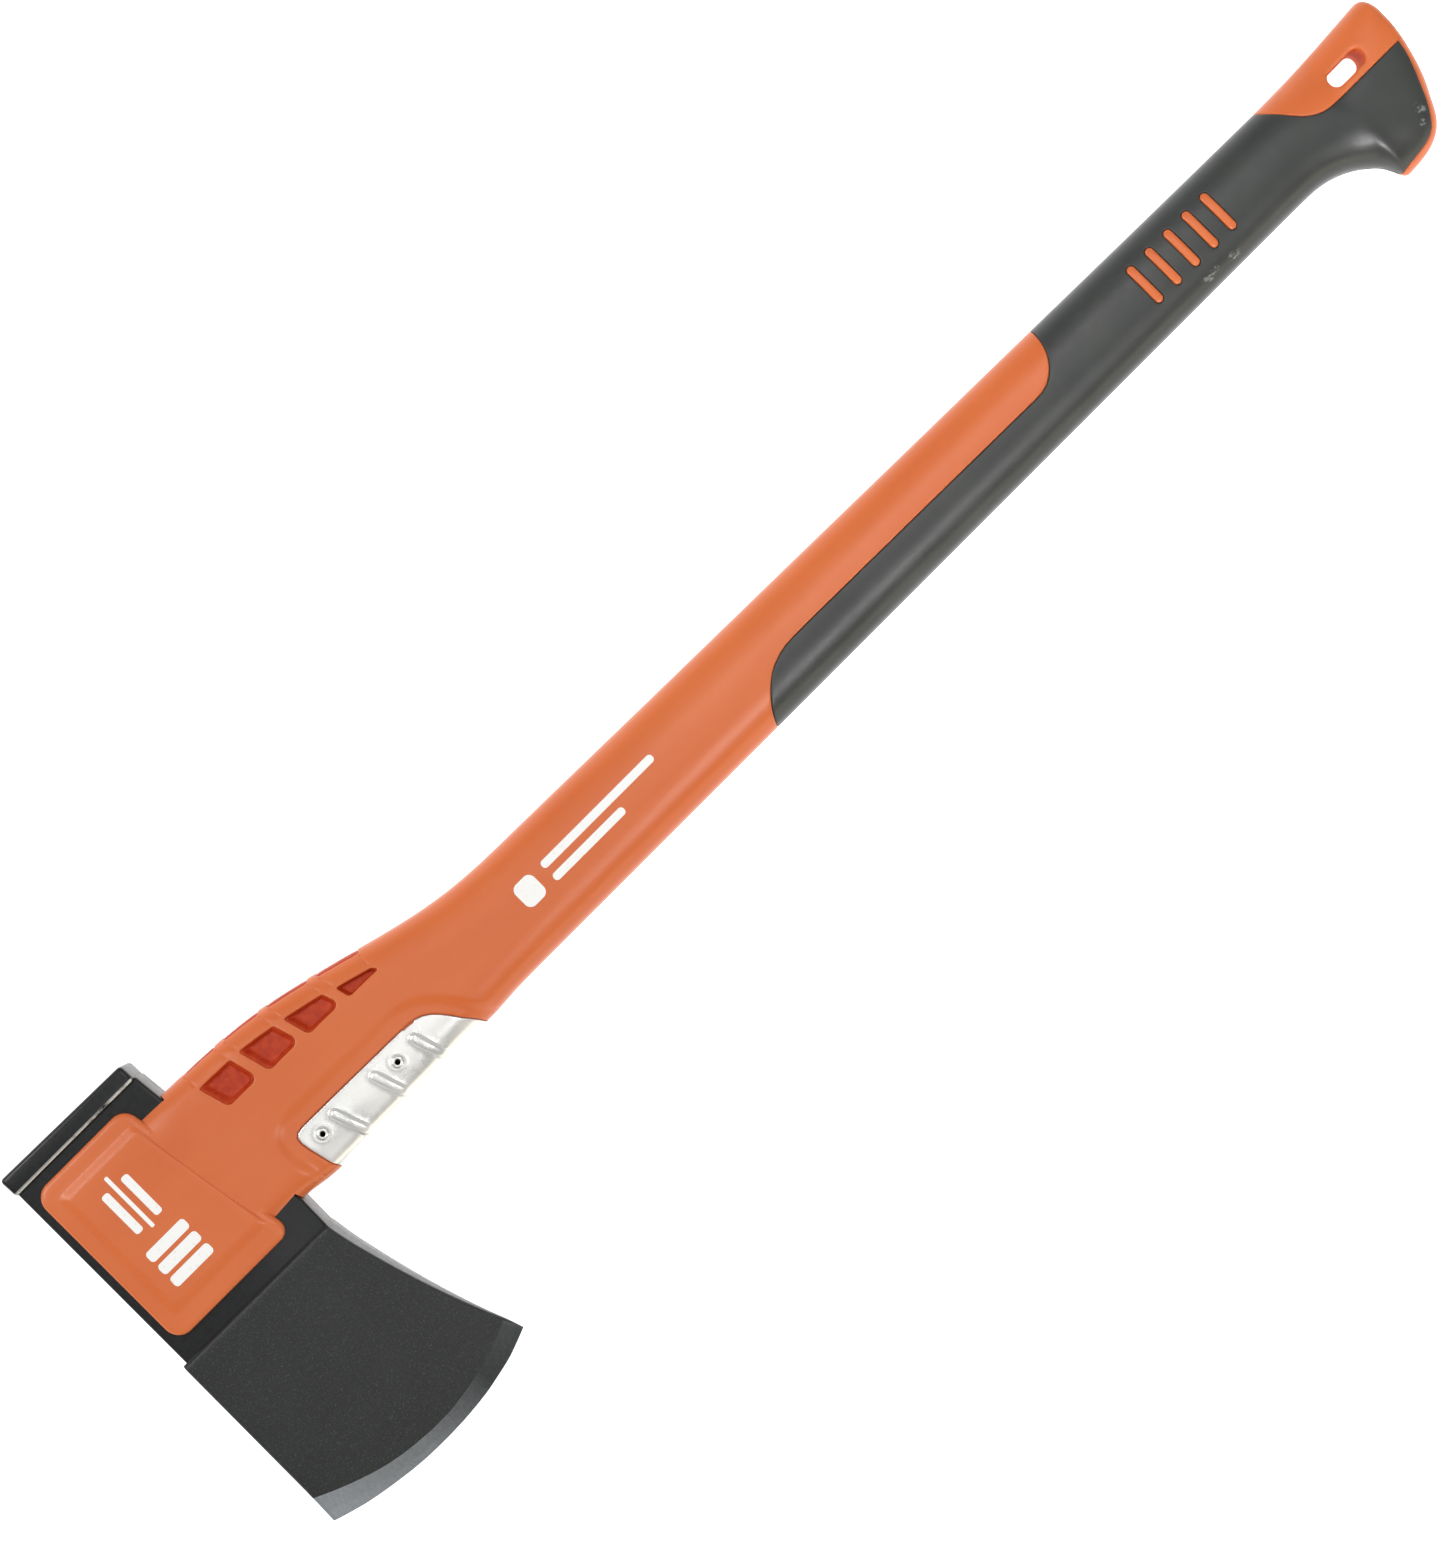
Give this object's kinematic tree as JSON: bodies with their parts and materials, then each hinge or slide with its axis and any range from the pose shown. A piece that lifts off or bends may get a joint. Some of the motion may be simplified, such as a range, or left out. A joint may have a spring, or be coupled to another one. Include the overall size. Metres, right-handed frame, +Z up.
{
  "type": "felling axe",
  "caption": "Felling axe with a forged black steel head, moulded orange handle over a red fibre core, soft black grip, folded sheet guard and a hanging slot in the butt.",
  "frame": {"origin": "bottom centre of the whole object's box, with the axe lying on its side", "axes": "+X from the head towards the butt, +Y towards the poll (the cutting edge is on -Y), +Z up out of the upper cheek"},
  "size_m": [0.6998, 0.1926, 0.031],
  "materials": {
    "head_black": "satin",
    "core_red": "satin",
    "shell_orange": "satin",
    "sheet_zinc": "satin",
    "grip_black": "matte"
  },
  "bodies": {
    "root": {"head": "head_black", "core": "core_red", "shell": "shell_orange", "guard_plate": "sheet_zinc", "guard_rivet_1": "sheet_zinc", "guard_rivet_2": "sheet_zinc", "grip": "grip_black"}
  },
  "joints": []
}
